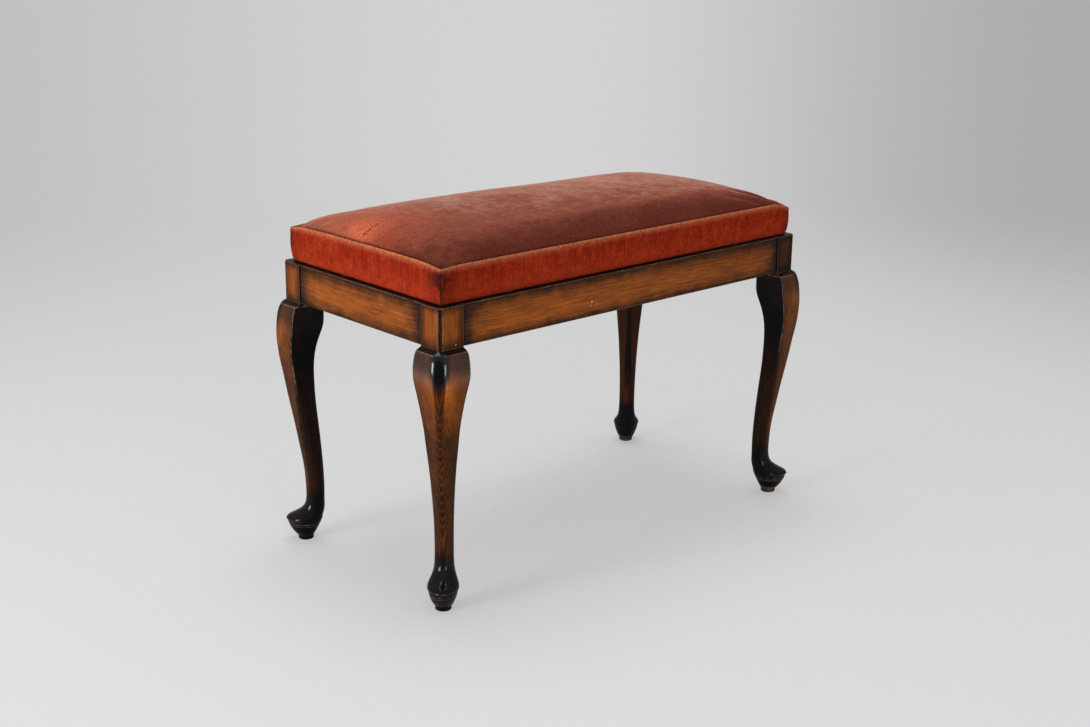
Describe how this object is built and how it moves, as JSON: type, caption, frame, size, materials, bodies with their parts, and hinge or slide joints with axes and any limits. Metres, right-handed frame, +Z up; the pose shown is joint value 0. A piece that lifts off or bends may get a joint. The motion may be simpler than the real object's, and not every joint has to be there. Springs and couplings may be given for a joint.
{
  "type": "piano bench",
  "caption": "Rectangular stool with cabriole legs, shaped wooden rails and a crowned velvet seat that lifts on back hinges over a shallow sheet-music well.",
  "frame": {"origin": "centre of the bench on the floor it stands on", "axes": "+X along the bench, +Y from the front to the hinged back, +Z up"},
  "size_m": [0.7502, 0.3922, 0.517],
  "materials": {
    "stained_wood": "dark walnut stain, satin lacquer",
    "plain_softwood": "planed, unfinished",
    "plywood": "sanded, unfinished",
    "velvet": "cut-pile velvet, worn",
    "stuffing": "hair and wadding",
    "felt": "pressed felt",
    "hinge_brass": "dull, tarnished",
    "fastener_steel": "blued"
  },
  "bodies": {
    "frame": {"leg_front_left": "stained_wood", "leg_front_right": "stained_wood", "leg_back_right": "stained_wood", "leg_back_left": "stained_wood", "rail_front": "stained_wood", "rail_right": "stained_wood", "rail_back": "stained_wood", "rail_left": "stained_wood", "cleat_front": "plain_softwood", "cleat_right": "plain_softwood", "cleat_back": "plain_softwood", "cleat_left": "plain_softwood", "well_bottom": "plywood", "cleat_screws": "fastener_steel", "panel_pins": "fastener_steel", "hinge_screws_frame": "hinge_brass", "hinge_left_frame_leaf": "hinge_brass", "hinge_right_frame_leaf": "hinge_brass", "hinge_left_pin": "hinge_brass", "hinge_right_pin": "hinge_brass"},
    "lid": {"lid_batten_front": "plain_softwood", "lid_batten_right": "plain_softwood", "lid_batten_back": "plain_softwood", "lid_batten_left": "plain_softwood", "boxing_front": "velvet", "boxing_right": "velvet", "boxing_back": "velvet", "boxing_left": "velvet", "hem_front": "velvet", "hem_right": "velvet", "hem_back": "velvet", "hem_left": "velvet", "hinge_left_lid_leaf": "hinge_brass", "hinge_right_lid_leaf": "hinge_brass", "lid_board": "plywood", "seat_stuffing": "stuffing", "seat_top": "velvet", "seat_piping": "velvet", "cover_tacks": "fastener_steel", "felt_buttons": "felt", "hinge_screws_lid": "hinge_brass"}
  },
  "joints": [
    {"name": "lid_hinge", "type": "hinge", "parent": "frame", "child": "lid", "pos_m": [0, 0.1745, 0.4351], "axis": [-1, 0, 0], "range_deg": [0, 100]}
  ]
}
